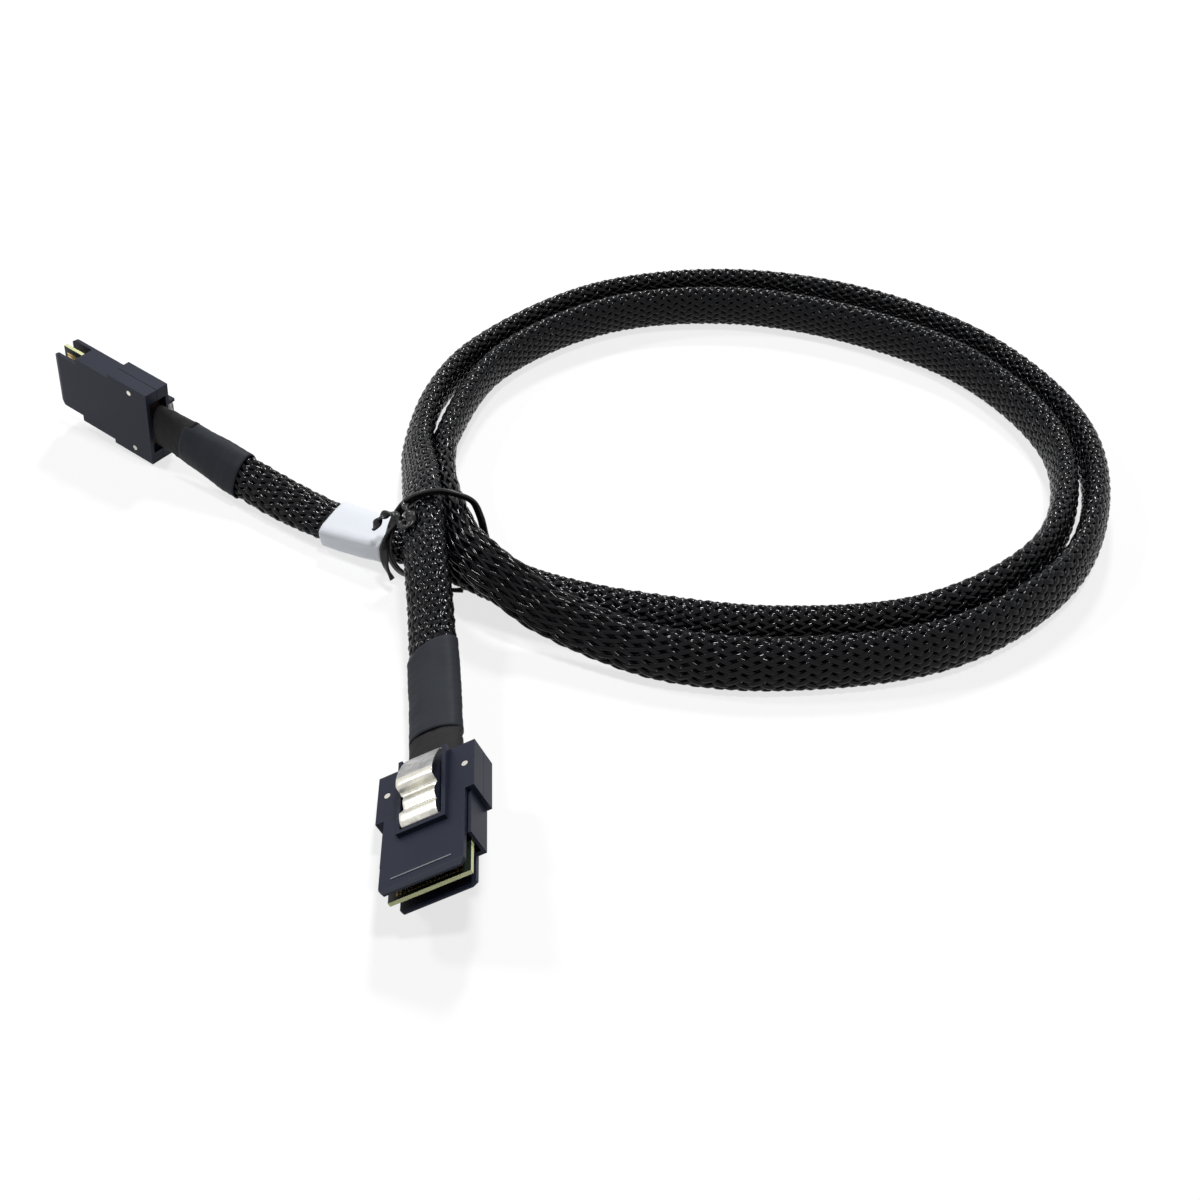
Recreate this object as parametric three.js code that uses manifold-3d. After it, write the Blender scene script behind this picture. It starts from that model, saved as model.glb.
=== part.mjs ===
import * as THREE from 'three';
import { mergeVertices } from 'three/addons/utils/BufferGeometryUtils.js';
import Module from 'manifold-3d';

// A data cable with a flat plug at each end, lying coiled on a surface. Millimetres, +Z up.
// +X runs along the long side of the coil and +Y runs away from the plug that lies face up.

const wasm = await Module();
wasm.setup();

// Sleeve: a flat oval braid that stands on edge round the coil
const SLEEVE_WIDE = 12.8;
const SLEEVE_THICK = 6.9;
const SLEEVE_WALL = 0.45;
const OVAL_SIDES = 12;
const STATION_STEP = 14;

// Wire pairs inside the sleeve: two rows of four, and a flat ribbon for the slow signals
const PAIR_WIDE = 2.0;
const PAIR_THICK = 0.95;
const PAIR_GAP = 0.16;
const ROWS = [-0.9, 0.3];
const RIBBON_WIDE = 4.6;
const RIBBON_THICK = 0.4;
const RIBBON_OFFSET = 1.4;

// Heat shrink and tape over the cable behind each plug, label and tie
const WRAP_WALL = 0.4;
const SHRINK_WALL = 0.5;
const FIT = 0.25;
const TAPE_WIDE = 12.3;
const TAPE_THICK = 5.5;
const LABEL_WALL = 0.15;
const TIE_THICK = 1.7;

// Plug, in its own frame: x across, y from the back (0) to the mouth (negative), z to the latch side
const FLANGE_WIDE = 21.9;
const FLANGE_LONG = 13.6;
const MID_WIDE = 19.7;
const MID_END = 25.2;
const PLUG_LONG = 33.4;
const PLUG_THICK = 7.4;
const LATCH_TONGUE_INSET = 0.85;
const PLAIN_TONGUE_INSET = 1.75;
const PLATE = 1.0;
const SIDE_WALL = 0.75;
const BEVEL = 0.8;
const SEAM = 0.1;
const POCKET_CLEAR = 0.35;
const POCKET_LONG = 10.6;
const CARD_GAP = 0.3;
const CARD_WIDE = MID_WIDE - 2 * (SIDE_WALL + CARD_GAP);
const CARD_THICK = 1.0;
const CARD_SETBACK = 0.5;
const RIVET_INSET = 2.2;
const RIVET_Y = 6.2;
const RIVET_R = 0.7;
const RIVET_SINK = 0.05;
const RIVET_GAP = 0.1;
const RIDGE_SETBACK = 2.8;
const RIDGE_WIDE = 12.8;
const RIDGE_THICK = 0.3;
const RIDGE_PROUD = 0.15;
const TOWER_WIDE = 10.8;
const TOWER_LONG = 20.2;
const TOWER_REAR = 1.9;
const TOWER_FRONT = 1.1;
const TOWER_WALL = 0.9;
const BAY_DEPTH = 0.4;
const LATCH_WIDE = 8.0;
const LATCH_WAIST = 7.0;
const LATCH_SHEET = 0.3;
const WAIST_FROM = 11.2;
const WAIST_TO = 15.4;
const HOOK_Y = 16.7;
const HOOK_X = 3.1;
const HOOK_SIDE = 0.9;
const HOOK_TOP = 2.75;

// Where the two plugs lie: back centre, then the directions of their x, y and z
const PLUG_A = [[-26.2, -79.2, 7.97], [0.896, 0.119, 0.427], [-0.06, 0.987, -0.15]];
const PLUG_B = [[-105.8, 34.5, 11.05], [0.117, -0.02, 0.993], [0.822, -0.559, -0.108]];

// Route of the cable from plug A to plug B: x, y, lift above lying on the floor, lean inward in degrees
const ROUTE = [
  [-26.2, -79.2, 3.8, 64.7], [-27.1, -68, 3.1, 63], [-28.5, -54, 3.4, 61], [-29.4, -46.5, 4.2, 60],
  [-31.1, -32, 6.7, 56], [-32.8, -20.5, 9.3, 53], [-34.4, -6.4, 10.0, 48], [-36.3, 6.6, 7.8, 41],
  [-38, 17.5, 4.8, 35], [-39.6, 30, 2.0, 28], [-37, 53, 0.5, 18],
  [-27.4, 73.2, 0, 12], [5.5, 101.4, 0, 8], [46.5, 108.8, 0, 6], [85.1, 97.4, 0, 4], [116.1, 70.7, 0, 2],
  [131.5, 30.5, 0, 2], [120, -12, 0, 8], [87.2, -39.3, 0, 20], [46.5, -46.6, 0, 30], [22, -44, 0.4, 34],
  [7.7, -39, 1.6, 36], [-7.3, -31.6, 4.4, 42], [-13.6, -28, 7.6, 44], [-20, -22.6, 9.4, 46],
  [-25, -15.4, 9.4, 44], [-28.5, -4.8, 8.0, 38], [-31.8, 9.8, 4.2, 31], [-33.0, 22.8, 1.6, 24],
  [-32.4, 36, 0.4, 18],
  [-20.9, 69.3, 0, 12], [9.9, 93.9, 0, 8], [46.5, 98.6, 0, 6], [79.8, 88.1, 0, 4], [108.4, 66.3, 0, 2],
  [123.8, 30.5, 0, 2], [113.4, -8.1, 0, 8], [82.5, -31.9, 0, 20], [46.5, -36.7, 0, 30], [13, -30.8, 0, 42],
  [0.3, -26.4, 0, 53], [-7.5, -23.2, 0.6, 62], [-15, -19.2, 1.3, 71], [-28.5, -11.6, 1.9, 83],
  [-42.4, -4.6, 1.8, 88], [-50, -1.0, 1.2, 86], [-57.8, 3.2, 0.8, 82], [-71, 11.4, 0.7, 64],
  [-82.1, 19, 1.0, 42], [-87, 22.2, 1.6, 32], [-97, 28.7, 3.4, 13], [-105.8, 34.5, 4.66, 3],
];

const black = { color: 0x15161a, roughness: 0.45, metalness: 0.0 };
const plastic = { color: 0x2a2d38, roughness: 0.5, metalness: 0.0 };
const shrink = { color: 0x2c2e31, roughness: 0.75, metalness: 0.0 };
const steel = { color: 0xd9d6cc, roughness: 0.2, metalness: 1.0 };

const group = new THREE.Group();

// Solids

function toSolid(geometry) {
  const g = geometry.clone();
  g.deleteAttribute('normal');
  g.deleteAttribute('uv');
  const m = mergeVertices(g, 1e-4);
  const mesh = new wasm.Mesh({
    numProp: 3,
    vertProperties: new Float32Array(m.attributes.position.array),
    triVerts: new Uint32Array(m.index.array),
  });
  return new wasm.Manifold(mesh);
}

function toGeometry(solid) {
  const mesh = solid.getMesh();
  const g = new THREE.BufferGeometry();
  g.setAttribute('position', new THREE.BufferAttribute(new Float32Array(mesh.vertProperties), 3));
  g.setIndex(new THREE.BufferAttribute(new Uint32Array(mesh.triVerts), 1));
  g.computeVertexNormals();
  return g;
}

function box(x0, x1, y0, y1, z0, z1) {
  const g = new THREE.BoxGeometry(x1 - x0, y1 - y0, z1 - z0);
  g.translate((x0 + x1) / 2, (y0 + y1) / 2, (z0 + z1) / 2);
  return toSolid(g);
}

// A flat outline in x and y raised from z0 to z1
function prism(points, z0, z1) {
  const shape = new THREE.Shape(points.map(([x, y]) => new THREE.Vector2(x, y)));
  const g = new THREE.ExtrudeGeometry(shape, { depth: z1 - z0, bevelEnabled: false });
  g.translate(0, 0, z0);
  return toSolid(g);
}

// An outline in y and z drawn out across x from -half to half
function across(points, half) {
  const shape = new THREE.Shape(points.map(([y, z]) => new THREE.Vector2(y, z)));
  const g = new THREE.ExtrudeGeometry(shape, { depth: 2 * half, bevelEnabled: false });
  g.applyMatrix4(new THREE.Matrix4().makeBasis(
    new THREE.Vector3(0, 1, 0), new THREE.Vector3(0, 0, 1), new THREE.Vector3(1, 0, 0)));
  g.translate(-half, 0, 0);
  return toSolid(g);
}

function rod(x, y, r, z0, z1, sides = 12) {
  const g = new THREE.CylinderGeometry(r, r, z1 - z0, sides);
  g.rotateX(Math.PI / 2);
  g.translate(x, y, (z0 + z1) / 2);
  return toSolid(g);
}

function addNode(name, geometry, look) {
  const mesh = new THREE.Mesh(geometry, new THREE.MeshStandardMaterial(look));
  mesh.name = name;
  group.add(mesh);
}

// The route

// Height of the oval's centre when its lowest edge is on the floor
function restHeight(lean) {
  const a = THREE.MathUtils.degToRad(lean);
  return Math.hypot(SLEEVE_WIDE / 2 * Math.cos(a), SLEEVE_THICK / 2 * Math.sin(a)) + 0.05;
}

const centre = new THREE.CatmullRomCurve3(
  ROUTE.map(([x, y, lift, lean]) => new THREE.Vector3(x, y, restHeight(lean) + lift)), false, 'centripetal');
const leans = new THREE.CatmullRomCurve3(
  ROUTE.map(([, , , lean], i) => new THREE.Vector3(i, lean, 0)), false, 'centripetal');
const SPANS = ROUTE.length - 1;

// Stations along the cable: place, direction, across the oval (wide) and through it (thin)
const stations = [];

function addStation(t) {
  const along = centre.getTangent(t);
  const inward = new THREE.Vector3().crossVectors(along, new THREE.Vector3(0, 0, 1)).normalize();
  const up = new THREE.Vector3().crossVectors(inward, along).normalize();
  const lean = THREE.MathUtils.degToRad(leans.getPoint(t).y);
  const wide = up.clone().multiplyScalar(Math.cos(lean)).addScaledVector(inward, Math.sin(lean));
  const thin = inward.clone().multiplyScalar(Math.cos(lean)).addScaledVector(up, -Math.sin(lean));
  stations.push({ place: centre.getPoint(t), along, wide, thin });
}

for (let i = 0; i < SPANS; i++) {
  const steps = Math.max(1, Math.round(centre.points[i].distanceTo(centre.points[i + 1]) / STATION_STEP));
  for (let k = 0; k < steps; k++) addStation((i + k / steps) / SPANS);
}
addStation(1);

// A stretch of the cable between two stations, in the form that an extrusion follows
class Stretch extends THREE.Curve {
  constructor(from, to) {
    super();
    this.part = stations.slice(from, to + 1);
  }
  getSpacedPoints() {
    return this.part.map((s) => s.place);
  }
  computeFrenetFrames() {
    return {
      tangents: this.part.map((s) => s.along),
      normals: this.part.map((s) => s.wide),
      binormals: this.part.map((s) => s.thin),
    };
  }
}

function ovalPoints(wide, thick) {
  const points = [];
  for (let i = 0; i < OVAL_SIDES; i++) {
    const a = (i + 0.5) / OVAL_SIDES * 2 * Math.PI;
    points.push(new THREE.Vector2(wide / 2 * Math.cos(a), thick / 2 * Math.sin(a)));
  }
  return points;
}

function sweep(shape, from, to) {
  const g = new THREE.ExtrudeGeometry(shape, {
    steps: to - from, bevelEnabled: false, extrudePath: new Stretch(from, to),
  });
  return toGeometry(toSolid(g));
}

function hollowSweep(wide, thick, wall, from, to) {
  const shape = new THREE.Shape(ovalPoints(wide, thick));
  shape.holes.push(new THREE.Path(ovalPoints(wide - 2 * wall, thick - 2 * wall)));
  return sweep(shape, from, to);
}

function barSweep(wide, thick, x, y, from, to) {
  const shape = new THREE.Shape([
    new THREE.Vector2(x - wide / 2, y - thick / 2), new THREE.Vector2(x + wide / 2, y - thick / 2),
    new THREE.Vector2(x + wide / 2, y + thick / 2), new THREE.Vector2(x - wide / 2, y + thick / 2)]);
  return sweep(shape, from, to);
}

// Cable

const LAST = stations.length - 1;
const SLEEVE_FROM = 2;
const SLEEVE_TO = LAST - 2;
const A_TAPE_FROM = 0;
const A_SHRINK_FROM = 1;
const A_SHRINK_TO = 3;
const B_TAPE_TO = LAST;
const B_SHRINK_FROM = LAST - 3;
const B_SHRINK_TO = LAST - 1;
const LABEL_FROM = LAST - 7;
const LABEL_TO = LAST - 5;

function addCable() {
  const sleeve = hollowSweep(SLEEVE_WIDE, SLEEVE_THICK, SLEEVE_WALL, SLEEVE_FROM, SLEEVE_TO);
  addNode('braided_sleeve', sleeve, black);
  let n = 0;
  for (const row of ROWS) {
    for (let i = 0; i < 4; i++) {
      n += 1;
      const x = (i - 1.5) * (PAIR_WIDE + PAIR_GAP);
      addNode('wire_pair_' + n, barSweep(PAIR_WIDE, PAIR_THICK, x, row, 0, LAST),
        { color: 0x8f9aa5, roughness: 0.5, metalness: 0.2 });
    }
  }
  addNode('signal_ribbon', barSweep(RIBBON_WIDE, RIBBON_THICK, 0, RIBBON_OFFSET, 0, LAST),
    { color: 0x6d7076, roughness: 0.6, metalness: 0.0 });
}

addCable();

// Wraps over the cable

const SHRINK_WIDE = SLEEVE_WIDE + 2 * (FIT + SHRINK_WALL);
const SHRINK_THICK = SLEEVE_THICK + 2 * (FIT + SHRINK_WALL);

function addWraps() {
  const tape = { color: 0x1c1d20, roughness: 0.6, metalness: 0.0 };
  addNode('a_tape_wrap', hollowSweep(TAPE_WIDE, TAPE_THICK, WRAP_WALL, A_TAPE_FROM, SLEEVE_FROM - 1), tape);
  addNode('b_tape_wrap', hollowSweep(TAPE_WIDE, TAPE_THICK, WRAP_WALL, SLEEVE_TO + 1, B_TAPE_TO), tape);
  for (const [name, from, to] of [['a_heat_shrink', A_SHRINK_FROM, A_SHRINK_TO],
    ['b_heat_shrink', B_SHRINK_FROM, B_SHRINK_TO]]) {
    addNode(name, hollowSweep(SHRINK_WIDE, SHRINK_THICK, SHRINK_WALL, from, to), shrink);
  }
  const labelWide = SLEEVE_WIDE + 2 * (FIT + LABEL_WALL);
  const labelThick = SLEEVE_THICK + 2 * (FIT + LABEL_WALL);
  addNode('cable_label', hollowSweep(labelWide, labelThick, LABEL_WALL, LABEL_FROM, LABEL_TO),
    { color: 0xe9ebee, roughness: 0.55, metalness: 0.0 });
}

// The tie is a closed ring round the runs at the crossing, with ends that stand off to the left and right
const TIE_RING = [
  [-40.0, -13.8, 3.6], [-42.4, -12.4, 7.2], [-42.6, -9.9, 10.6], [-41.6, -7.2, 13.2], [-40.0, -5.6, 15.6],
  [-37.7, -5.2, 18.4], [-33.8, -5.2, 20.8], [-30.0, -5.2, 21.4], [-26.4, -5.8, 21.0], [-22.6, -6.3, 19.3],
  [-21.0, -6.6, 15.0], [-20.4, -7.0, 10.2], [-20.0, -7.2, 5.2], [-22.6, -8.2, 1.7], [-29.6, -10.6, 1.06],
  [-36.4, -12.6, 1.09],
];
const TIE_END_UP = [[-40.4, -6.6, 15.0], [-42.4, -7.6, 15.4], [-44.2, -8.2, 14.6], [-45.8, -8.8, 12.6]];
const TIE_END_DOWN = [[-41.8, -8.2, 12.4], [-43.6, -11.4, 10.2], [-43.4, -14.2, 6.6], [-41.8, -16.4, 3.2]];
const TIE_END_LOW = [[-33.0, -12.0, 0.95], [-30.8, -15.4, 1.0], [-28.0, -17.2, 1.0], [-25.2, -17.4, 1.1]];

function tieTube(points, closed, segments) {
  const path = new THREE.CatmullRomCurve3(points.map((q) => new THREE.Vector3(...q)), closed);
  const shape = new THREE.Shape();
  for (let i = 0; i < 6; i++) {
    const a = i / 6 * 2 * Math.PI;
    const x = TIE_THICK / 2 * Math.cos(a), y = TIE_THICK / 2 * Math.sin(a);
    if (i === 0) shape.moveTo(x, y); else shape.lineTo(x, y);
  }
  if (closed) return toSolid(new THREE.TubeGeometry(path, segments, TIE_THICK / 2, 6, true));
  const form = { steps: segments, bevelEnabled: false, extrudePath: path };
  return toSolid(new THREE.ExtrudeGeometry(shape, form));
}

function addTie() {
  const ring = tieTube(TIE_RING, true, 32);
  const ends = [TIE_END_UP, TIE_END_DOWN, TIE_END_LOW].map((points) => tieTube(points, false, 6));
  const solid = ends.reduce((whole, end) => whole.add(end), ring);
  addNode('wire_tie', toGeometry(solid), { color: 0x0d0d0f, roughness: 0.25, metalness: 0.0 });
}

// Plugs

const HALF = PLUG_THICK / 2;
const INNER = HALF - PLATE;
const FLANGE = FLANGE_WIDE / 2;
const RIVET_X = FLANGE - RIVET_INSET;
const POCKET_WIDE = 2 * (RIVET_X - RIVET_R - POCKET_CLEAR);

// Outline of a front plate whose two outer corners are cut off, and whose lip is bevelled by a wedge
function tongue(half, from, z0, z1) {
  return prism([
    [-half, -from], [-half, -PLUG_LONG + BEVEL * 1.4], [-half + BEVEL, -PLUG_LONG],
    [half - BEVEL, -PLUG_LONG], [half, -PLUG_LONG + BEVEL * 1.4], [half, -from]], z0, z1);
}

function lipWedge(side) {
  const far = PLUG_LONG + 0.5, near = PLUG_LONG - 1.6;
  return across([[-near, side * (HALF + 0.01)], [-far, side * (HALF - 0.7)], [-far, side * (HALF + 0.5)],
    [-near, side * (HALF + 0.5)]].reverse(), FLANGE);
}

// Side blocks of the flange from the parting plane to one broad face, with the rivet holes through them
function flangeHalf(z0, z1, inner0, inner1) {
  const pocket = POCKET_WIDE / 2;
  const card = CARD_WIDE / 2 + FIT;
  let solid = box(-FLANGE, FLANGE, -FLANGE_LONG, 0, z0, z1);
  solid = solid.subtract(box(-pocket, pocket, -POCKET_LONG, 1, inner0, inner1));
  solid = solid.subtract(box(-card, card, -FLANGE_LONG - 1, -POCKET_LONG, inner0, inner1));
  for (const x of [-RIVET_X, RIVET_X]) {
    solid = solid.subtract(rod(x, -RIVET_Y, RIVET_R + RIVET_GAP, -HALF - 1, HALF + 1));
  }
  return solid;
}

function latchShell() {
  let solid = flangeHalf(SEAM / 2, HALF, -1, INNER).add(
    tongue(MID_WIDE / 2 - LATCH_TONGUE_INSET, FLANGE_LONG - 0.5, INNER, HALF));
  solid = solid.add(across([
    [0, HALF - 0.3], [0, HALF + TOWER_REAR], [-TOWER_LONG, HALF + TOWER_FRONT], [-TOWER_LONG, HALF - 0.3],
  ], TOWER_WIDE / 2));
  const bay = TOWER_WIDE / 2 - TOWER_WALL;
  solid = solid.subtract(box(-bay, bay, -TOWER_LONG + TOWER_WALL, 1, HALF - BAY_DEPTH, HALF + 3));
  const ridge = -PLUG_LONG + RIDGE_SETBACK;
  solid = solid.add(box(-RIDGE_WIDE / 2, RIDGE_WIDE / 2, ridge - RIDGE_THICK / 2, ridge + RIDGE_THICK / 2,
    HALF - 0.2, HALF + RIDGE_PROUD));
  return solid.subtract(lipWedge(1));
}

function plainShell() {
  let solid = flangeHalf(-HALF, -SEAM / 2, -INNER, 1);
  solid = solid.add(box(-MID_WIDE / 2, MID_WIDE / 2, -MID_END, -FLANGE_LONG + 0.5, -HALF, -INNER));
  solid = solid.add(tongue(MID_WIDE / 2 - PLAIN_TONGUE_INSET, MID_END - 0.5, -HALF, -INNER));
  for (const side of [-1, 1]) {
    const outer = side * MID_WIDE / 2, inner = side * (MID_WIDE / 2 - SIDE_WALL);
    solid = solid.add(box(Math.min(outer, inner), Math.max(outer, inner),
      -MID_END, -FLANGE_LONG - SEAM, -HALF, INNER - SEAM));
  }
  return solid.subtract(lipWedge(-1));
}

function card() {
  return box(-CARD_WIDE / 2, CARD_WIDE / 2, -PLUG_LONG + CARD_SETBACK, -POCKET_LONG - FIT,
    -CARD_THICK / 2, CARD_THICK / 2);
}

// The block that grips the wires at the back of the card
function wireBlock() {
  const half = POCKET_WIDE / 2 - FIT;
  return box(-half, half, -POCKET_LONG + 0.1, -2.2, -INNER + FIT, INNER - FIT);
}

// Side view of the sheet spring, from the rolled front foot over the hooks to the raised thumb end.
// Each entry is y and the height above the shell's broad face.
const LATCH_LINE = [
  [-18.0, 0.15], [-18.9, 0.4], [-19.0, 1.2], [-18.5, 1.9], [-16.6, 2.3], [-15.0, 1.6], [-13.4, 2.2],
  [-11.6, 2.0], [-10.9, 2.3], [-10.5, 4.1], [-9.0, 4.4], [-6.4, 4.0], [-3.4, 3.0], [-0.6, 1.7], [0.3, 0.9],
];

function springLatch() {
  const line = LATCH_LINE.map(([y, h]) => new THREE.Vector2(y, HALF + h));
  const upper = [], lower = [];
  line.forEach((q, i) => {
    const a = line[Math.max(i - 1, 0)], b = line[Math.min(i + 1, line.length - 1)];
    const n = new THREE.Vector2(a.y - b.y, b.x - a.x).normalize().multiplyScalar(LATCH_SHEET / 2);
    upper.push([q.x + n.x, q.y + n.y]);
    lower.push([q.x - n.x, q.y - n.y]);
  });
  let solid = across([...lower, ...upper.reverse()], LATCH_WIDE / 2);
  for (const side of [-1, 1]) {
    const inner = side * LATCH_WAIST / 2, outer = side * (LATCH_WIDE / 2 + 1);
    solid = solid.subtract(box(Math.min(inner, outer), Math.max(inner, outer), -WAIST_TO, -WAIST_FROM,
      HALF - 1, HALF + 6));
    const x = side * HOOK_X, half = HOOK_SIDE / 2;
    solid = solid.add(box(x - half, x + half, -HOOK_Y - half, -HOOK_Y + half, HALF + 2.0, HALF + HOOK_TOP));
  }
  return solid;
}

function addPlug(prefix, [origin, xAxis, yAxis]) {
  const x = new THREE.Vector3(...xAxis).normalize();
  const z = new THREE.Vector3().crossVectors(x, new THREE.Vector3(...yAxis)).normalize();
  const y = new THREE.Vector3().crossVectors(z, x);
  const pose = new THREE.Matrix4().makeBasis(x, y, z).setPosition(...origin);
  const parts = [
    ['latch_shell', latchShell(), plastic],
    ['plain_shell', plainShell(), plastic],
    ['paddle_card', card(), { color: 0xc9cf8f, roughness: 0.45, metalness: 0.0 }],
    ['wire_block', wireBlock(), { color: 0x2b2322, roughness: 0.6, metalness: 0.0 }],
    ['spring_latch', springLatch(), steel],
    ['rivet_left', rod(-RIVET_X, -RIVET_Y, RIVET_R, -HALF + RIVET_SINK, HALF - RIVET_SINK), steel],
    ['rivet_right', rod(RIVET_X, -RIVET_Y, RIVET_R, -HALF + RIVET_SINK, HALF - RIVET_SINK), steel],
  ];
  for (const [name, solid, look] of parts) {
    addNode(prefix + '_' + name, toGeometry(solid).applyMatrix4(pose), look);
  }
}

addWraps();
addTie();
addPlug('a', PLUG_A);
addPlug('b', PLUG_B);

// The origin is on the floor, under the middle of the whole object
const bounds = new THREE.Box3().setFromObject(group);
const middle = bounds.getCenter(new THREE.Vector3());
group.position.set(-middle.x, -middle.y, -bounds.min.z);

export default group;
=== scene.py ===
import math

import bpy
import numpy as np
from mathutils import Matrix, Vector
from mathutils.noise import noise


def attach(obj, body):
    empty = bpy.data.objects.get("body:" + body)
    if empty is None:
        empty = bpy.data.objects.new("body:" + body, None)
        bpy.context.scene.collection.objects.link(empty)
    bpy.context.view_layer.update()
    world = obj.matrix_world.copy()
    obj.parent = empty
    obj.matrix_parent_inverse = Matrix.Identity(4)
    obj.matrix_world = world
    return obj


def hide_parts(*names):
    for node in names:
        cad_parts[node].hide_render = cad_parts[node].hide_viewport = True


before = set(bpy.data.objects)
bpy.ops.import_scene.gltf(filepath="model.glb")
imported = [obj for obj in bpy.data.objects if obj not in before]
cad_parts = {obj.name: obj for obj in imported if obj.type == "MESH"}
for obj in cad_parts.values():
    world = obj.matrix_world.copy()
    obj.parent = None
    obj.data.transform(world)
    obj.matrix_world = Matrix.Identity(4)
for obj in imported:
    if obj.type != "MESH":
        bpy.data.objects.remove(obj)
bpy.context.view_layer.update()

# The camera
# It stands where the photograph was taken: a little left of the coil's middle, looking down at 43 degrees.
MM = 0.001
# From this script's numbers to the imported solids, which stand on the floor with their middle over the origin
FLOOR_SHIFT = Vector((0.4965, 0.5475, 0.011)) * MM
EYE = Vector((7.0, -278.0, 239.75)) * MM + FLOOR_SHIFT
LOOK_DOWN = math.radians(42.8647)

camera_data = bpy.data.cameras.new("camera")
camera_data.sensor_width = 36.0
camera_data.lens = 45.01
camera_data.clip_start = 0.01
camera = bpy.data.objects.new("camera", camera_data)
camera.location = EYE
camera.rotation_euler = (math.pi / 2 - LOOK_DOWN, 0.0, 0.0)
bpy.context.collection.objects.link(camera)
bpy.context.scene.camera = camera
bpy.context.scene.view_settings.view_transform = "Standard"


# The shader sums
# A finish is a material under way. node() adds any node; a signal is one of its sockets, and sums of signals
# become Math nodes.
OBJECT_PLACE = 3


class Signal:
    def __init__(self, finish, socket):
        self.finish = finish
        self.socket = socket

    def math(self, operation, *others):
        return self.finish.node("ShaderNodeMath", {"operation": operation}, dict(enumerate((self, *others))))

    def __add__(self, other):
        return self.math("ADD", other)

    __radd__ = __add__

    def __mul__(self, other):
        return self.math("MULTIPLY", other)

    def __pow__(self, other):
        return self.math("POWER", other)

    def __abs__(self):
        return self.math("ABSOLUTE")

    def wave(self):
        return self.math("SINE")

    def clamped(self, low, high):
        """Nought up to low, one from high on, and even in between."""
        sockets = {"Value": self, "From Min": low, "From Max": high}
        return self.finish.node("ShaderNodeMapRange", {"clamp": True}, sockets)


class Finish:
    def __init__(self, name, **fixed):
        self.material = bpy.data.materials.new(name)
        self.material.use_nodes = True
        self.tree = self.material.node_tree
        self.skin = self.tree.nodes["Principled BSDF"]
        for key, value in fixed.items():
            self.skin.inputs[key.replace("_", " ")].default_value = value

    def node(self, kind, settings=None, sockets=None, out=0):
        made = self.tree.nodes.new(kind)
        for key, value in (settings or {}).items():
            setattr(made, key, value)
        for key, value in (sockets or {}).items():
            self.put(made.inputs[key], value)
        return Signal(self, made.outputs[out])

    def put(self, socket, value):
        if isinstance(value, Signal):
            self.tree.links.new(value.socket, socket)
        else:
            socket.default_value = value

    def place(self):
        return self.node("ShaderNodeTexCoord", out=OBJECT_PLACE)

    def noise(self, scale, detail, rough):
        sockets = {"Vector": self.place(), "Scale": scale, "Detail": detail, "Roughness": rough}
        return self.node("ShaderNodeTexNoise", None, sockets)

    def blend(self, factor, first, second):
        return self.node("ShaderNodeMix", {"data_type": "RGBA"}, {0: factor, 6: first, 7: second}, out=2)

    def bump(self, height, depth, strength=1.0):
        return self.node("ShaderNodeBump", None, {"Height": height, "Distance": depth, "Strength": strength})

    def paint(self, **signals):
        for key, value in signals.items():
            self.put(self.skin.inputs[key.replace("_", " ")], value)
        return self.material


# The route of the cable
# It goes from the back of the plug that lies face up to the back of the plug that stands on its edge, as the
# solids have it. A row holds x, y and the lift above lying on the floor in millimetres, and the lean inward
# in degrees.
ROUTE = [
    (-26.2, -79.2, 3.8, 64.7), (-27.1, -68, 3.1, 63), (-28.5, -54, 3.4, 61), (-29.4, -46.5, 4.2, 60),
    (-31.1, -32, 6.7, 56), (-32.8, -20.5, 9.3, 53), (-34.4, -6.4, 10.0, 48), (-36.3, 6.6, 7.8, 41),
    (-38, 17.5, 4.8, 35), (-39.6, 30, 2.0, 28), (-37, 53, 0.5, 18),
    (-27.4, 73.2, 0, 12), (5.5, 101.4, 0, 8), (46.5, 108.8, 0, 6), (85.1, 97.4, 0, 4), (116.1, 70.7, 0, 2),
    (131.5, 30.5, 0, 2), (120, -12, 0, 8), (87.2, -39.3, 0, 20), (46.5, -46.6, 0, 30), (22, -44, 0.4, 34),
    (7.7, -39, 1.6, 36), (-7.3, -31.6, 4.4, 42), (-13.6, -28, 7.6, 44), (-20, -22.6, 9.4, 46),
    (-25, -15.4, 9.4, 44), (-28.5, -4.8, 8.0, 38), (-31.8, 9.8, 4.2, 31), (-33.0, 22.8, 1.6, 24),
    (-32.4, 36, 0.4, 18),
    (-20.9, 69.3, 0, 12), (9.9, 93.9, 0, 8), (46.5, 98.6, 0, 6), (79.8, 88.1, 0, 4), (108.4, 66.3, 0, 2),
    (123.8, 30.5, 0, 2), (113.4, -8.1, 0, 8), (82.5, -31.9, 0, 20), (46.5, -36.7, 0, 30), (13, -30.8, 0, 42),
    (0.3, -26.4, 0, 53), (-7.5, -23.2, 0.6, 62), (-15, -19.2, 1.3, 71), (-28.5, -11.6, 1.9, 83),
    (-42.4, -4.6, 1.8, 88), (-50, -1.0, 1.2, 86), (-57.8, 3.2, 0.8, 82), (-71, 11.4, 0.7, 64),
    (-82.1, 19, 1.0, 42), (-87, 22.2, 1.6, 32), (-97, 28.7, 3.4, 13), (-105.8, 34.5, 4.66, 3),
]
SLEEVE_WIDE = 12.8
SLEEVE_THICK = 6.9
SLEEVE_START = 2
SLEEVE_END = 49
LINE_STEP = 1.0
FLOOR_CLEAR = 0.05


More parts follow.
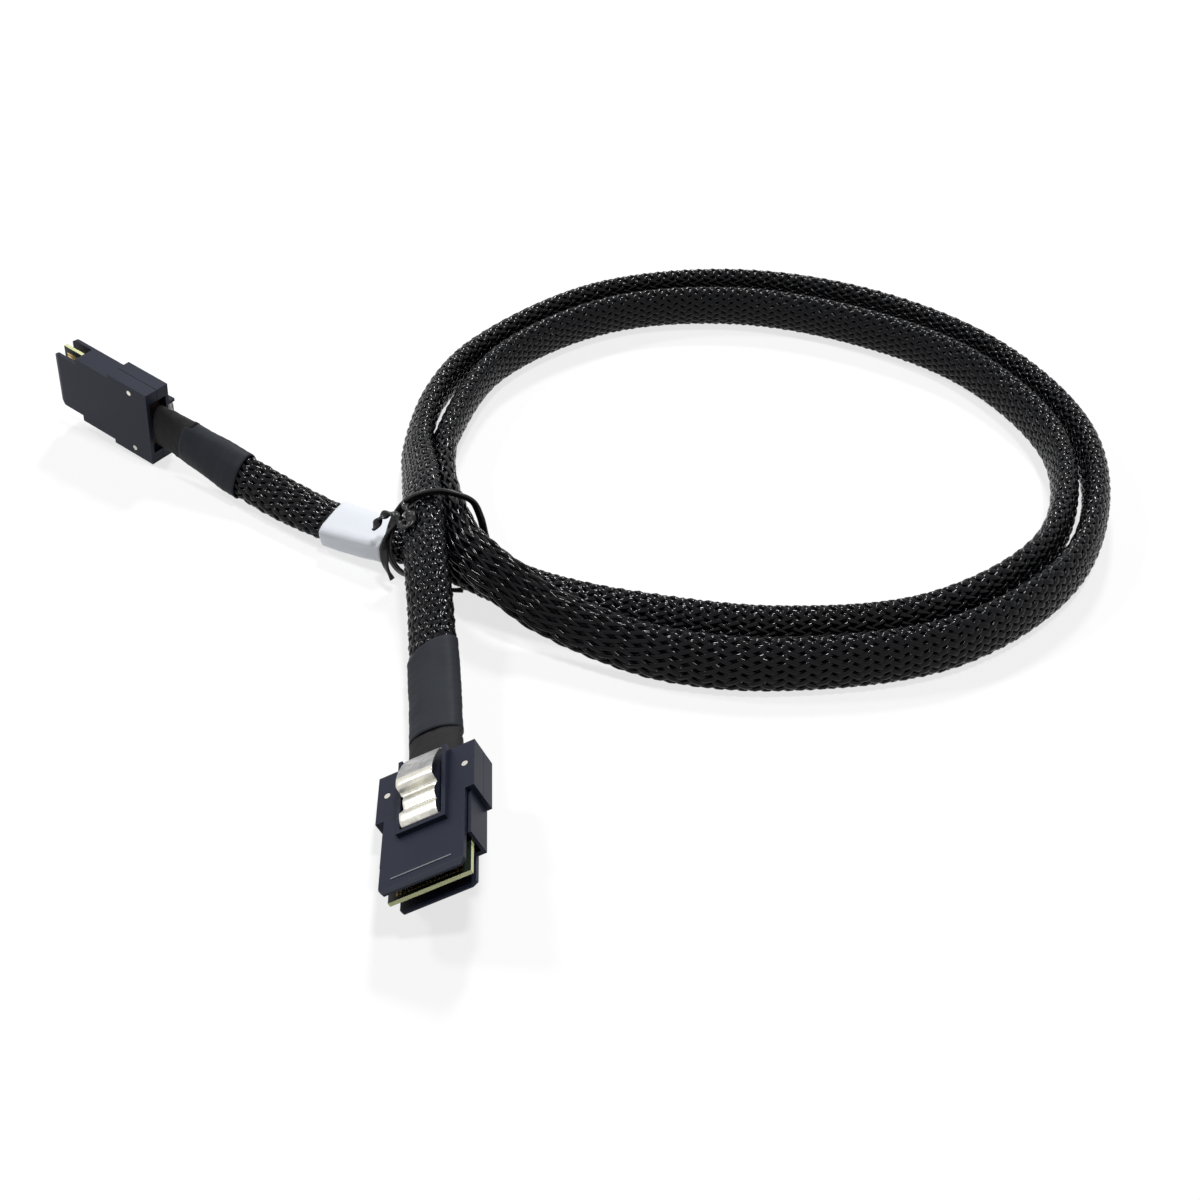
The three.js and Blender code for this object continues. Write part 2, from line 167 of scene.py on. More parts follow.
def smooth_through(rows, per_span):
    """Points on the smooth curve through rows, whose bends keep clear of loops by the root of each chord."""
    rows = np.array(rows, dtype=float)
    rows = np.vstack([2 * rows[0] - rows[1], rows, 2 * rows[-1] - rows[-2]])
    out = []
    for i in range(1, len(rows) - 2):
        p0, p1, p2, p3 = rows[i - 1 : i + 3]
        chords = ((p0, p1), (p1, p2), (p2, p3))
        d0, d1, d2 = (max(np.linalg.norm(b[:3] - a[:3]) ** 0.5, 1e-4) for a, b in chords)
        leave = ((p1 - p0) / d0 - (p2 - p0) / (d0 + d1) + (p2 - p1) / d1) * d1
        arrive = ((p2 - p1) / d1 - (p3 - p1) / (d1 + d2) + (p3 - p2) / d2) * d1
        for t in np.arange(per_span) / per_span:
            out.append(p1 + leave * t + (3 * (p2 - p1) - 2 * leave - arrive) * t**2
                       + (2 * (p1 - p2) + leave + arrive) * t**3)
    out.append(rows[-2])
    return np.array(out)


def rest_height(lean):
    a = math.radians(lean)
    return math.hypot(SLEEVE_WIDE / 2 * math.cos(a), SLEEVE_THICK / 2 * math.sin(a)) + FLOOR_CLEAR


PER_SPAN = 60
LOOK_ASIDE = 0.6
fine = smooth_through(
    [(x, y, rest_height(lean) + lift, lean, i) for i, (x, y, lift, lean) in enumerate(ROUTE)], PER_SPAN)
fine_run = np.concatenate([[0.0], np.cumsum(np.linalg.norm(np.diff(fine[:, :3], axis=0), axis=1))])
route_run = fine_run[::PER_SPAN]


def unit(v):
    return v / np.linalg.norm(v, axis=-1, keepdims=True)


def cable_frames(run):
    """Place, wide way and thin way of the oval at these distances from the first plug, in millimetres."""
    place = np.stack([np.interp(run, fine_run, fine[:, k]) for k in range(3)], axis=-1)
    ahead = np.stack([np.interp(run + LOOK_ASIDE, fine_run, fine[:, k]) for k in range(3)], axis=-1)
    behind = np.stack([np.interp(run - LOOK_ASIDE, fine_run, fine[:, k]) for k in range(3)], axis=-1)
    along = unit(ahead - behind)
    lean = np.radians(np.interp(run, fine_run, fine[:, 3]))[:, None]
    inward = unit(np.cross(along, [0.0, 0.0, 1.0]))
    up = unit(np.cross(inward, along))
    wide = up * np.cos(lean) + inward * np.sin(lean)
    thin = inward * np.cos(lean) - up * np.sin(lean)
    return place, wide, thin


# The braided sleeve
# A flat tube of glossy black plastic strands, fourteen bands each way, each over one and under the next. It
# is slack by the plugs and drawn out long where the cable climbs over its own end.
BANDS = 14
BAND_WIDE = 1.62
BAND_THICK = 0.56
WEAVE_DEPTH = 0.3
# Route point, how wide and how thick the sleeve is there, and how far along a band goes once round
SLEEVE_FORM = [
    (2, 11.8, 6.4, 46), (3.2, 12.2, 6.9, 50), (5, 12.2, 6.7, 50), (8, 12.6, 6.9, 56), (18, 12.8, 6.9, 58),
    (20, 12.6, 6.8, 74), (22, 11.8, 6.5, 118), (25, 11.6, 6.4, 125), (27, 12.0, 6.6, 90), (29, 12.6, 6.9, 58),
    (38, 12.8, 6.9, 56), (41, 12.2, 6.8, 60), (44, 11.6, 6.6, 66), (46, 11.4, 6.6, 68), (49, 11.0, 6.5, 72),
]


def sleeve_form(run, column):
    stops = np.interp([row[0] for row in SLEEVE_FORM], np.arange(len(route_run)), route_run)
    return np.interp(run, stops, [row[column] for row in SLEEVE_FORM])


OVAL_TABLE = np.linspace(0, 2 * np.pi, 721)


def oval_point(share, wide, thick):
    """The point a share of the way round the oval, and its outward direction, in the oval's own plane."""
    x = wide[:, None] / 2 * np.cos(OVAL_TABLE)
    y = thick[:, None] / 2 * np.sin(OVAL_TABLE)
    run = np.cumsum(np.hypot(np.diff(x, axis=1), np.diff(y, axis=1)), axis=1)
    run = np.hstack([np.zeros((len(run), 1)), run]) / run[:, -1:]
    angle = np.array([np.interp(s % 1.0, r, OVAL_TABLE) for s, r in zip(share, run)])
    point = np.stack([wide / 2 * np.cos(angle), thick / 2 * np.sin(angle)], axis=-1)
    out = unit(np.stack([np.cos(angle) / wide, np.sin(angle) / thick], axis=-1))
    return point, out


def new_piece(name, points, quads, loops_uv=None, caps=()):
    """A piece from points in millimetres, quads and end caps, with coordinates on each strand if given."""
    mesh = bpy.data.meshes.new(name)
    verts = np.asarray(points, dtype=float) * MM + np.array(FLOOR_SHIFT)
    faces = [list(map(int, q)) for q in quads] + [list(map(int, c)) for c in caps]
    mesh.from_pydata(verts.tolist(), [], faces)
    if loops_uv is not None:
        layer = mesh.uv_layers.new(name="strand")
        layer.data.foreach_set("uv", np.asarray(loops_uv, dtype=np.float32).ravel())
    mesh.polygons.foreach_set("use_smooth", [True] * len(mesh.polygons))
    mesh.update()
    piece = bpy.data.objects.new(name, mesh)
    bpy.context.collection.objects.link(piece)
    return piece


SLEEVE_TUCK = 4.0
SLACK_PITCH = 58.0
STRAND_V_PER_MM = 0.1
STRAND_V_STEP = 1.7
# A band's section in half widths and thicknesses, and how far across the band each corner is in its finish
BAND_SECTION = np.array([
    (-0.62, -0.5), (0.62, -0.5), (1.0, -0.2), (0.6, 0.3), (0.0, 0.5), (-0.6, 0.3), (-1.0, -0.2)])
BAND_ACROSS = np.array([0.19, 0.81, 1.0, 0.81, 0.5, 0.19, 0.0])
sleeve_run = np.arange(route_run[SLEEVE_START] - SLEEVE_TUCK, route_run[SLEEVE_END] + SLEEVE_TUCK, LINE_STEP)
sleeve_place, sleeve_wide_dir, sleeve_thin_dir = cable_frames(sleeve_run)
wide_here = sleeve_form(sleeve_run, 1) - 2 * (WEAVE_DEPTH + BAND_THICK / 2)
thick_here = sleeve_form(sleeve_run, 2) - 2 * (WEAVE_DEPTH + BAND_THICK / 2)
turned = np.concatenate([[0.0], np.cumsum(LINE_STEP / sleeve_form(sleeve_run, 3))[:-1]])
# Drawn out, the bands close up and lie flatter
slack = np.clip(SLACK_PITCH / sleeve_form(sleeve_run, 3), 0.45, 1.0)
band_half = BAND_WIDE / 2 * slack**0.6
weave_here = WEAVE_DEPTH * slack**0.5


def band_rings(number, hand):
    """The rings of points of one band, which goes round to the right where hand is 1, to the left at -1."""
    share = number / BANDS + hand * turned
    flat, out = oval_point(share, wide_here, thick_here)
    normal = sleeve_wide_dir * out[:, :1] + sleeve_thin_dir * out[:, 1:]
    lift = hand * weave_here * np.cos(2 * np.pi * BANDS * turned)
    core = sleeve_place + sleeve_wide_dir * flat[:, :1] + sleeve_thin_dir * flat[:, 1:]
    middle = core + normal * lift[:, None]
    along = unit(np.gradient(middle, axis=0))
    across = unit(np.cross(along, normal))
    normal = np.cross(across, along)
    across_here = across * band_half[:, None]
    return (middle[:, None] + across_here[:, None] * BAND_SECTION[:, 0][None, :, None]
            + normal[:, None] * (BAND_SECTION[:, 1] * BAND_THICK)[None, :, None])


def tube_faces(rings, sides, start):
    """The quads of an open tube of rings, with its points counted from start."""
    ring = np.arange(rings - 1)[:, None] * sides + start
    side = np.arange(sides)[None, :]
    following = (side + 1) % sides
    quads = np.stack([ring + side, ring + following, ring + sides + following, ring + sides + side], axis=-1)
    return quads.reshape(-1, 4)


def band_group(name, hand, numbers):
    """The bands of these numbers as one piece, each a closed tube with coordinates across and along it."""
    points, quads, coords, caps = [], [], [], []
    rings, sides = len(sleeve_run), len(BAND_SECTION)
    for count, number in enumerate(numbers):
        start = count * rings * sides
        points.append(band_rings(number, hand).reshape(-1, 3))
        quads.append(tube_faces(rings, sides, start))
        low = sleeve_run[:-1][:, None] + np.zeros(sides)
        high = sleeve_run[1:][:, None] + np.zeros(sides)
        first = np.tile(BAND_ACROSS, (rings - 1, 1))
        second = np.tile(np.roll(BAND_ACROSS, -1), (rings - 1, 1))
        uv = np.stack([first, low, second, low, second, high, first, high], axis=-1).reshape(-1, 4, 2)
        uv[..., 1] = uv[..., 1] * STRAND_V_PER_MM + number * STRAND_V_STEP
        coords.append(uv.reshape(-1, 2))
        caps.append([start + k for k in range(sides)][::-1])
        caps.append([start + (rings - 1) * sides + k for k in range(sides)])
    coords.append(np.zeros((2 * len(numbers) * sides, 2)))
    return new_piece(name, np.vstack(points), np.vstack(quads), np.vstack(coords), caps)


def strand_finish():
    """Black drawn plastic: each band is three strands side by side, with a little scatter of gloss."""
    finish = Finish("strand", Specular_IOR_Level=0.15)
    flat = finish.node("ShaderNodeUVMap", {"uv_map": "strand"})
    across = finish.node("ShaderNodeSeparateXYZ", None, {0: flat})
    ridges = abs((across * (3 * math.pi)).wave()) ** 0.5
    speckle = finish.noise(900.0, 2.0, 0.6)
    patch = finish.noise(60.0, 3.0, 0.55)
    colour = finish.blend(patch, (0.0009, 0.001, 0.0018, 1.0), (0.003, 0.0032, 0.005, 1.0))
    rough = 0.04 + patch * 0.06 + speckle * 0.02
    height = ridges * 0.5 + speckle * 0.2
    return finish.paint(Base_Color=colour, Roughness=rough, Normal=finish.bump(height, 0.00001, 0.2))


strand = strand_finish()
for hand, side_name in ((1, "right"), (-1, "left")):
    for half in (0, 1):
        group = band_group(f"sleeve_strands_{side_name}_{half + 1}", hand, range(half, BANDS, 2))
        group.data.materials.append(strand)
        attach(group, "cable")
        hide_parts("braided_sleeve")


# The wires
# Eight flat pairs and one thin ribbon run inside the sleeve from card to card. Their dull film shows only as
# a dark grey glint between the strands, and at the back of each plug.
def film_finish(name, tone):
    finish = Finish(name, Specular_IOR_Level=0.2)
    patch = finish.noise(140.0, 3.0, 0.5)
    fine_grain = finish.noise(2500.0, 2.0, 0.5)
    dark = (tone * 0.6, tone * 0.58, tone * 0.6, 1.0)
    light = (tone * 1.3, tone * 1.25, tone * 1.2, 1.0)
    colour = finish.blend(patch, dark, light)
    return finish.paint(Base_Color=colour, Roughness=0.35 + patch * 0.25,
                        Normal=finish.bump(fine_grain, 0.00002))


pair_film = film_finish("pair_film", 0.05)
ribbon_film = film_finish("ribbon_film", 0.035)
for name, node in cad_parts.items():
    if name.startswith("wire_pair"):
        node.data.materials.clear()
        node.data.materials.append(pair_film)
    if name == "signal_ribbon":
        node.data.materials.clear()
        node.data.materials.append(ribbon_film)


# Tape and heat shrink
# Cloth tape binds the wires behind each plug, and a length of black shrink tubing grips the tape and the end
# of the sleeve. The tubing shows the strands beneath as faint ridges and ends on a slant.
WRAP_SIDES = 64
WRAP_STEP = 0.7
SLANT_FROM = 0.4


def wrap_piece(name, start, end, size, wall, relief, slant_start=0.0, slant_end=0.0, square=1.0):
    """A hollow wrap round the cable between two distances. size gives its width and thickness on the way."""
    count = max(4, int((end - start) / WRAP_STEP))
    angle = np.arange(WRAP_SIDES) / WRAP_SIDES * 2 * np.pi
    outer, inner = [], []
    for i in range(count + 1):
        share = i / count
        slant = (slant_start * (1 - share) + slant_end * share) * np.cos(angle + SLANT_FROM)
        run = start + (end - start) * share + slant
        place, wide_dir, thin_dir = cable_frames(run)
        wide, thick = size(share)
        x = wide / 2 * np.sign(np.cos(angle)) * np.abs(np.cos(angle)) ** square
        y = thick / 2 * np.sign(np.sin(angle)) * np.abs(np.sin(angle)) ** square
        scale = 1 + relief(run, angle) / np.hypot(x, y)
        outer.append(place + wide_dir * (x * scale)[:, None] + thin_dir * (y * scale)[:, None])
        shrunk = 1 - wall / np.hypot(x, y)
        inner.append(place + wide_dir * (x * shrunk)[:, None] + thin_dir * (y * shrunk)[:, None])
    rings = outer + inner[::-1]
    last = (len(rings) - 1) * WRAP_SIDES
    side = np.arange(WRAP_SIDES)
    following = (side + 1) % WRAP_SIDES
    closing = np.stack([last + side, last + following, following, side], axis=-1)
    return new_piece(name, np.vstack(rings), np.vstack([tube_faces(len(rings), WRAP_SIDES, 0), closing]))


def folds(run, angle, along, around, shift=0.0):
    """Soft folds of a skin: along and around say how close they come."""
    return np.array([noise(Vector((r * along, math.cos(a) * around, math.sin(a) * around + shift)))
                     for r, a in zip(run, angle)])


def shrink_relief(run, angle):
    weave = np.sin(run * 1.45 + angle * 5) * np.sin(run * 1.45 - angle * 5) * 0.07
    return weave + folds(run, angle, 0.22, 1.3) * 0.22


def tape_relief(run, angle):
    lap = ((run + angle * 1.1) / 7.0 % 1.0) * 0.22
    return lap + folds(run, angle, 0.6, 3, 7) * 0.14


def shrink_finish():
    finish = Finish("shrink_tubing", Specular_IOR_Level=0.12)
    patch = finish.noise(120.0, 4.0, 0.6)
    grain = finish.noise(1800.0, 3.0, 0.6)
    colour = finish.blend(patch, (0.012, 0.014, 0.018, 1.0), (0.024, 0.027, 0.034, 1.0))
    return finish.paint(Base_Color=colour, Roughness=0.48 + patch * 0.2,
                        Normal=finish.bump(grain, 0.00005, 0.7))


def tape_finish():
    finish = Finish("cloth_tape", Specular_IOR_Level=0.08)
    sockets = {"Vector": finish.place(), "Scale": 700.0}
    cloth = finish.node("ShaderNodeTexWave", {"bands_direction": "DIAGONAL"}, sockets, out=1)
    patch = finish.noise(160.0, 3.0, 0.6)
    colour = finish.blend(patch, (0.012, 0.012, 0.013, 1.0), (0.03, 0.03, 0.031, 1.0))
    return finish.paint(Base_Color=colour, Roughness=0.55 + patch * 0.2,
                        Normal=finish.bump(cloth, 0.00004, 0.6))


shrink_skin = shrink_finish()
tape_skin = tape_finish()
for prefix, start, end, slant, size in (
    ("a", route_run[1] - 2.0, route_run[3], (0.0, 2.0), lambda s: (12.5 + 0.3 * s, 6.5 + 0.6 * s)),
    ("b", route_run[48], route_run[50] + 1.0, (0.6, 0.0), lambda s: (11.9 + 0.2 * s, 7.2 - 0.7 * s))):
    piece = wrap_piece(prefix + "_shrink_tubing", start, end, size, 0.4, shrink_relief, *slant)
    piece.data.materials.append(shrink_skin)
    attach(piece, "cable")
    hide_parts(prefix + "_heat_shrink")
for prefix, start, end in (("a", 0.3, route_run[1] + 1.0), ("b", route_run[50] - 1.0, route_run[51] - 0.3)):
    piece = wrap_piece(prefix + "_cloth_tape", start, end, lambda s: (12.2, 5.5), 0.4, tape_relief)
    piece.data.materials.append(tape_skin)
    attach(piece, "cable")
    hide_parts(prefix + "_tape_wrap")


# The label
# A white film sticker goes once round the sleeve and laps over itself on one side, where its edge shows. It
# is bare, as nothing printed is copied.
def label_finish():
    finish = Finish("label_film", Specular_IOR_Level=0.3)
    patch = finish.noise(90.0, 3.0, 0.5)
    grain = finish.noise(1500.0, 2.0, 0.5)
    colour = finish.blend(patch, (0.6, 0.63, 0.68, 1.0), (0.7, 0.72, 0.76, 1.0))
    return finish.paint(Base_Color=colour, Roughness=0.4 + patch * 0.15,
                        Normal=finish.bump(grain, 0.00003, 0.5))


def label_relief(run, angle):
    lap = np.where((angle > 3.6) & (angle < 4.4), 0.16, 0.0)
    return lap + folds(run, angle, 0.25, 2, 3) * 0.12


label = wrap_piece("label", route_run[44] + 0.2, route_run[46] - 0.2, lambda s: (12.2, 7.2), 0.15,
                   label_relief, square=0.55)
label.data.materials.append(label_finish())
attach(label, "cable")
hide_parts("cable_label")


# The tie
# A black plastic-covered wire tie goes once round both runs where they cross. On the left one end curls off
# and one hangs down along the cable, and a third end sticks out below, on the right.
TIE_RING = [
    (-40.0, -13.8, 3.6), (-42.4, -12.4, 7.2), (-42.6, -9.9, 10.6), (-41.6, -7.2, 13.2), (-40.0, -5.6, 15.6),
    (-37.7, -5.2, 18.2), (-33.8, -5.2, 20.4), (-30.0, -5.2, 21.0), (-26.4, -5.8, 20.6), (-22.8, -6.3, 19.0),
    (-21.2, -6.6, 15.0), (-20.4, -7.0, 10.2), (-20.0, -7.2, 5.2), (-22.6, -8.2, 1.7), (-29.6, -10.6, 1.06),
    (-36.4, -12.6, 1.09),
]
TIE_END_UP = [
    (-38.6, -5.6, 17.6), (-37.6, -8.6, 18.4), (-36.2, -11.4, 18.4), (-37.4, -13.0, 17.2),
    (-38.8, -11.8, 16.0), (-39.6, -9.4, 15.8), (-41.4, -7.8, 16.4), (-43.6, -7.6, 15.8), (-45.2, -8.4, 14.0),
    (-46.0, -8.9, 12.6),
]
TIE_END_DOWN = [
    (-39.4, -8.2, 16.2), (-41.4, -8.8, 14.4), (-43.2, -11.2, 11.2), (-43.4, -14.2, 6.6), (-41.8, -16.2, 3.4)]
TIE_END_LOW = [(-33.0, -12.0, 0.95), (-30.8, -15.4, 1.0), (-28.0, -17.2, 1.0), (-25.2, -17.4, 1.1)]
TIE_LOBE = 0.58
TIE_HALF_WIDE = 1.84 * TIE_LOBE
TIE_SIDES = 16
TIE_PER_SPAN = 12
TIE_GUIDE = np.array([0.35, 0.9, 0.25])


def strand_pair(points, closed, twist_per_mm):
    """Rings of a two-lobed tie along a line: two wires side by side under one skin."""
    if closed:
        line = smooth_through(points[-2:] + points + points[:3], TIE_PER_SPAN)
        line = line[2 * TIE_PER_SPAN : (2 + len(points)) * TIE_PER_SPAN]
        along = unit(np.roll(line, -1, 0) - np.roll(line, 1, 0))
    else:
        line = smooth_through(points, TIE_PER_SPAN)
        along = unit(np.gradient(line, axis=0))
    side = unit(np.cross(along, TIE_GUIDE))
    other = np.cross(along, side)
    run = np.concatenate([[0.0], np.cumsum(np.linalg.norm(np.diff(line, axis=0), axis=1))])
    turn = run * twist_per_mm
    a = side * np.cos(turn)[:, None] + other * np.sin(turn)[:, None]
    b = np.cross(along, a)
    angle = np.arange(TIE_SIDES) / TIE_SIDES * 2 * np.pi
    x = TIE_HALF_WIDE * np.cos(angle)
    y = TIE_LOBE * np.sin(angle) * (0.62 + 0.38 * np.abs(np.cos(angle)) ** 0.6)
    return line[:, None] + a[:, None] * x[None, :, None] + b[:, None] * y[None, :, None]


def tie_finish():
    finish = Finish("tie_plastic", Specular_IOR_Level=0.3)
    patch = finish.noise(300.0, 2.0, 0.5)
    colour = finish.blend(patch, (0.006, 0.006, 0.007, 1.0), (0.016, 0.016, 0.018, 1.0))
    return finish.paint(Base_Color=colour, Roughness=0.2 + patch * 0.15,
                        Normal=finish.bump(patch, 0.00003, 0.5))


tie_points, tie_quads, tie_caps, start = [], [], [], 0
for line, closed, twist in (
        (TIE_RING, True, 0.0), (TIE_END_UP, False, 0.9), (TIE_END_DOWN, False, 0.25),
        (TIE_END_LOW, False, 0.1)):
    rings = strand_pair(line, closed, twist)
    tie_points.append(rings.reshape(-1, 3))
    tie_quads.append(tube_faces(len(rings), TIE_SIDES, start))
    last = start + (len(rings) - 1) * TIE_SIDES
    side = np.arange(TIE_SIDES)
    following = (side + 1) % TIE_SIDES
    if closed:
        tie_quads.append(np.stack([last + side, last + following, start + following, start + side], axis=-1))
    else:
        tie_caps += [list(range(start, start + TIE_SIDES))[::-1], list(range(last, last + TIE_SIDES))]
    start = last + TIE_SIDES
tie = new_piece("tie", np.vstack(tie_points), np.vstack(tie_quads), None, tie_caps)
tie.data.materials.append(tie_finish())
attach(tie, "cable")
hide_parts("wire_tie")


# The plugs' housings
# Each plug is two halves of moulded black-blue plastic, riveted together: the latch half carries the tower
# and one tongue, the plain half the side walls and the other tongue. The mould leaves every edge softly
# rounded, and the raised line near the mouth is painted pale: a painted highlight where it catches the light.
PLUG_A = ((-26.2, -79.2, 7.97), (0.896, 0.119, 0.427), (-0.06, 0.987, -0.15))
PLUG_B = ((-105.8, 34.5, 11.05), (0.117, -0.02, 0.993), (0.822, -0.559, -0.108))
HALF_THICK = 3.7


def plug_pose(origin, across, back):
    """The plug's frame: x across, y towards the cable, z to the latch side, from millimetres to metres."""
    x = Vector(across).normalized()
    z = x.cross(Vector(back)).normalized()
    y = z.cross(x)
    turn = Matrix((x, y, z)).transposed().to_4x4()
    return Matrix.Translation(Vector(origin) * MM + FLOOR_SHIFT) @ turn @ Matrix.Scale(MM, 4)


POSES = {"a": plug_pose(*PLUG_A), "b": plug_pose(*PLUG_B)}


def housing_finish():
    finish = Finish("housing_plastic", Specular_IOR_Level=0.13)
    grain = finish.noise(3200.0, 3.0, 0.6)
    patch = finish.noise(110.0, 3.0, 0.5)
    colour = finish.blend(patch, (0.009, 0.011, 0.021, 1.0), (0.015, 0.018, 0.033, 1.0))
    return finish.paint(Base_Color=colour, Roughness=0.4 + patch * 0.1,
                        Normal=finish.bump(grain, 0.00002, 0.6))


# Pale grey for the raised line near the mouth: a painted highlight, colour standing in for the light it
# catches.
def line_highlight_finish():
    finish = Finish("housing_painted_highlight", Specular_IOR_Level=0.5)
    patch = finish.noise(900.0, 3.0, 0.6)
    colour = finish.blend(patch, (0.06, 0.065, 0.08, 1.0), (0.22, 0.23, 0.25, 1.0))
    return finish.paint(Base_Color=colour, Roughness=0.3 + patch * 0.2,
                        Normal=finish.bump(patch, 0.00002, 0.5))


def rounded_copy(node_name, piece_name, width):
    """A copy of a CAD node with merged corners, flat faces joined and its edges rounded."""
    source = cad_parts[node_name]
    piece = bpy.data.objects.new(piece_name, source.data.copy())
    bpy.context.collection.objects.link(piece)
    piece.data.materials.clear()
    bpy.ops.object.select_all(action="DESELECT")
    bpy.context.view_layer.objects.active = piece
    piece.select_set(True)
    bpy.ops.object.mode_set(mode="EDIT")
    bpy.ops.mesh.select_all(action="SELECT")
    bpy.ops.mesh.remove_doubles(threshold=0.00002)
    bpy.ops.mesh.dissolve_limited(angle_limit=math.radians(1.0))
    bpy.ops.object.mode_set(mode="OBJECT")
    soft = piece.modifiers.new("soft_edges", "BEVEL")
    soft.width = width
    soft.segments = 2
    soft.limit_method = "ANGLE"
    soft.angle_limit = math.radians(25)
    flat = piece.modifiers.new("flat_faces", "WEIGHTED_NORMAL")
    flat.weight = 100
    flat.keep_sharp = False
    bpy.ops.object.shade_smooth()
    bpy.ops.object.modifier_apply(modifier="soft_edges")
    bpy.ops.object.modifier_apply(modifier="flat_faces")
    return piece


housing = housing_finish()
line_highlight = line_highlight_finish()
LINE_FROM = -31.2
LINE_TO = -29.4
LINE_HALF = 6.6
LINE_ABOVE = HALF_THICK + 0.03
for prefix in ("a", "b"):
    for half in ("latch_shell", "plain_shell"):
        piece = rounded_copy(f"{prefix}_{half}", f"{prefix}_{half}_moulding", 0.00012)
        piece.data.materials.append(housing)
        piece.data.materials.append(line_highlight)
        to_plug = POSES[prefix].inverted()
        # Faces of the raised line near the mouth take the pale painted-highlight finish.
        for face in piece.data.polygons:
            at = to_plug @ face.center
            on_line = LINE_FROM < at.y < LINE_TO and abs(at.x) < LINE_HALF and at.z > LINE_ABOVE
            if half == "latch_shell" and on_line:
                face.material_index = 1
        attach(piece, "cable")
        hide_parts(f"{prefix}_{half}")


# The spring latches
# A strip of bright spring steel sits in the tower, with its rolled foot at the front, a waist behind it and a
# raised end, worn dull, under the thumb. Pressing that end frees the plug. Each latch is a body of its own.
LATCH_LINE = [
    (-18.0, 0.15), (-18.9, 0.4), (-19.0, 1.2), (-18.5, 1.9), (-16.6, 2.3), (-15.0, 1.6), (-13.4, 2.2),
    (-11.6, 2.0), (-10.9, 2.3), (-10.5, 4.1), (-9.0, 4.4), (-6.4, 4.0), (-3.4, 3.0), (-0.6, 1.7), (0.3, 0.9),
]
LATCH_WIDE = 8.0
LATCH_WAIST = 7.0
LATCH_SHEET = 0.3
WAIST_FROM = -15.4
WAIST_TO = -11.2
WAIST_EASE = 0.5
CROWN_FROM = -10
CROWN = 0.12


def steel_finish(name, light, dark, dullness):
    finish = Finish(name, Metallic=1.0)
    grain = finish.noise(1500.0, 3.0, 0.6)
    patch = finish.noise(420.0, 4.0, 0.6).clamped(0.35, 0.65)
    scratch = finish.noise(2600.0, 2.0, 0.7).clamped(0.55, 0.7)
    colour = finish.blend(patch, light, dark)
    rough = dullness + patch * 0.16 + scratch * 0.1
    return finish.paint(Base_Color=colour, Roughness=rough, Normal=finish.bump(grain, 0.00004, 0.7))


def latch_piece(name, pose):
    """The strip as a grid along its side view, given its thickness and rounded edges by modifiers."""
    line = smooth_through([(y, HALF_THICK + h, 0.0) for y, h in LATCH_LINE], 5)
    columns = np.linspace(-1, 1, 13)
    points, quads = [], []
    for y, z, _ in line:
        into = max(0.0, min(1.0, (y - WAIST_FROM) / WAIST_EASE))
        waist = into * max(0.0, min(1.0, (WAIST_TO - y) / WAIST_EASE))
        half = (LATCH_WIDE - (LATCH_WIDE - LATCH_WAIST) * waist) / 2
        for c in columns:
            crown = -CROWN * abs(c) ** 4 if y > CROWN_FROM else 0.0
            points.append((c * half, y, z + crown))
    wide = len(columns)
    for i in range(len(line) - 1):
        for k in range(wide - 1):
            at = i * wide + k
            quads.append((at, at + 1, at + wide + 1, at + wide))
    mesh = bpy.data.meshes.new(name)
    mesh.from_pydata([pose @ Vector(p) for p in points], [], quads)
    piece = bpy.data.objects.new(name, mesh)
    bpy.context.collection.objects.link(piece)
    bpy.ops.object.select_all(action="DESELECT")
    bpy.context.view_layer.objects.active = piece
    piece.select_set(True)
    sheet = piece.modifiers.new("sheet", "SOLIDIFY")
    sheet.thickness = LATCH_SHEET * MM
    sheet.offset = 0.0
    soft = piece.modifiers.new("soft_edges", "BEVEL")
    soft.width = 0.00006
    soft.segments = 2
    soft.angle_limit = math.radians(50)
    for modifier in ("sheet", "soft_edges"):
        bpy.ops.object.modifier_apply(modifier=modifier)
    bpy.ops.object.shade_smooth_by_angle(angle=math.radians(50))
    return piece


bright_steel = steel_finish("bright_steel", (0.78, 0.76, 0.68, 1.0), (0.5, 0.49, 0.45, 1.0), 0.24)
worn_steel = steel_finish("worn_steel", (0.5, 0.5, 0.49, 1.0), (0.26, 0.26, 0.265, 1.0), 0.36)
THUMB_FROM = -8.6
for prefix in ("a", "b"):
    piece = latch_piece(prefix + "_latch_strip", POSES[prefix])
    piece.data.materials.append(bright_steel)
    piece.data.materials.append(worn_steel)
    to_plug = POSES[prefix].inverted()
    for face in piece.data.polygons:
        face.material_index = 1 if (to_plug @ face.center).y > THUMB_FROM else 0
    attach(piece, prefix + "_latch")
    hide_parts(prefix + "_spring_latch")
    for side in ("left", "right"):
        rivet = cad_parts[f"{prefix}_rivet_{side}"]
        rivet.data.materials.clear()
        rivet.data.materials.append(bright_steel)


# The cards
# A card of pale green laminate, dark on its broad faces, carries a row of gilt contacts on each of them. They
# slide into the socket's springs.
def card_finish():
    finish = Finish("card_laminate", Specular_IOR_Level=0.3)
    grain = finish.noise(2500.0, 2.0, 0.6)
    patch = finish.noise(200.0, 3.0, 0.5)
    colour = finish.blend(patch, (0.5, 0.53, 0.26, 1.0), (0.62, 0.64, 0.36, 1.0))
    return finish.paint(Base_Color=colour, Roughness=0.4 + patch * 0.15,
                        Normal=finish.bump(grain, 0.00002, 0.5))


def gilt_finish():
    finish = Finish("gilt", Metallic=1.0)
    patch = finish.noise(500.0, 2.0, 0.5)
    colour = finish.blend(patch, (0.86, 0.62, 0.26, 1.0), (0.76, 0.53, 0.2, 1.0))
    return finish.paint(Base_Color=colour, Roughness=0.22 + patch * 0.12)
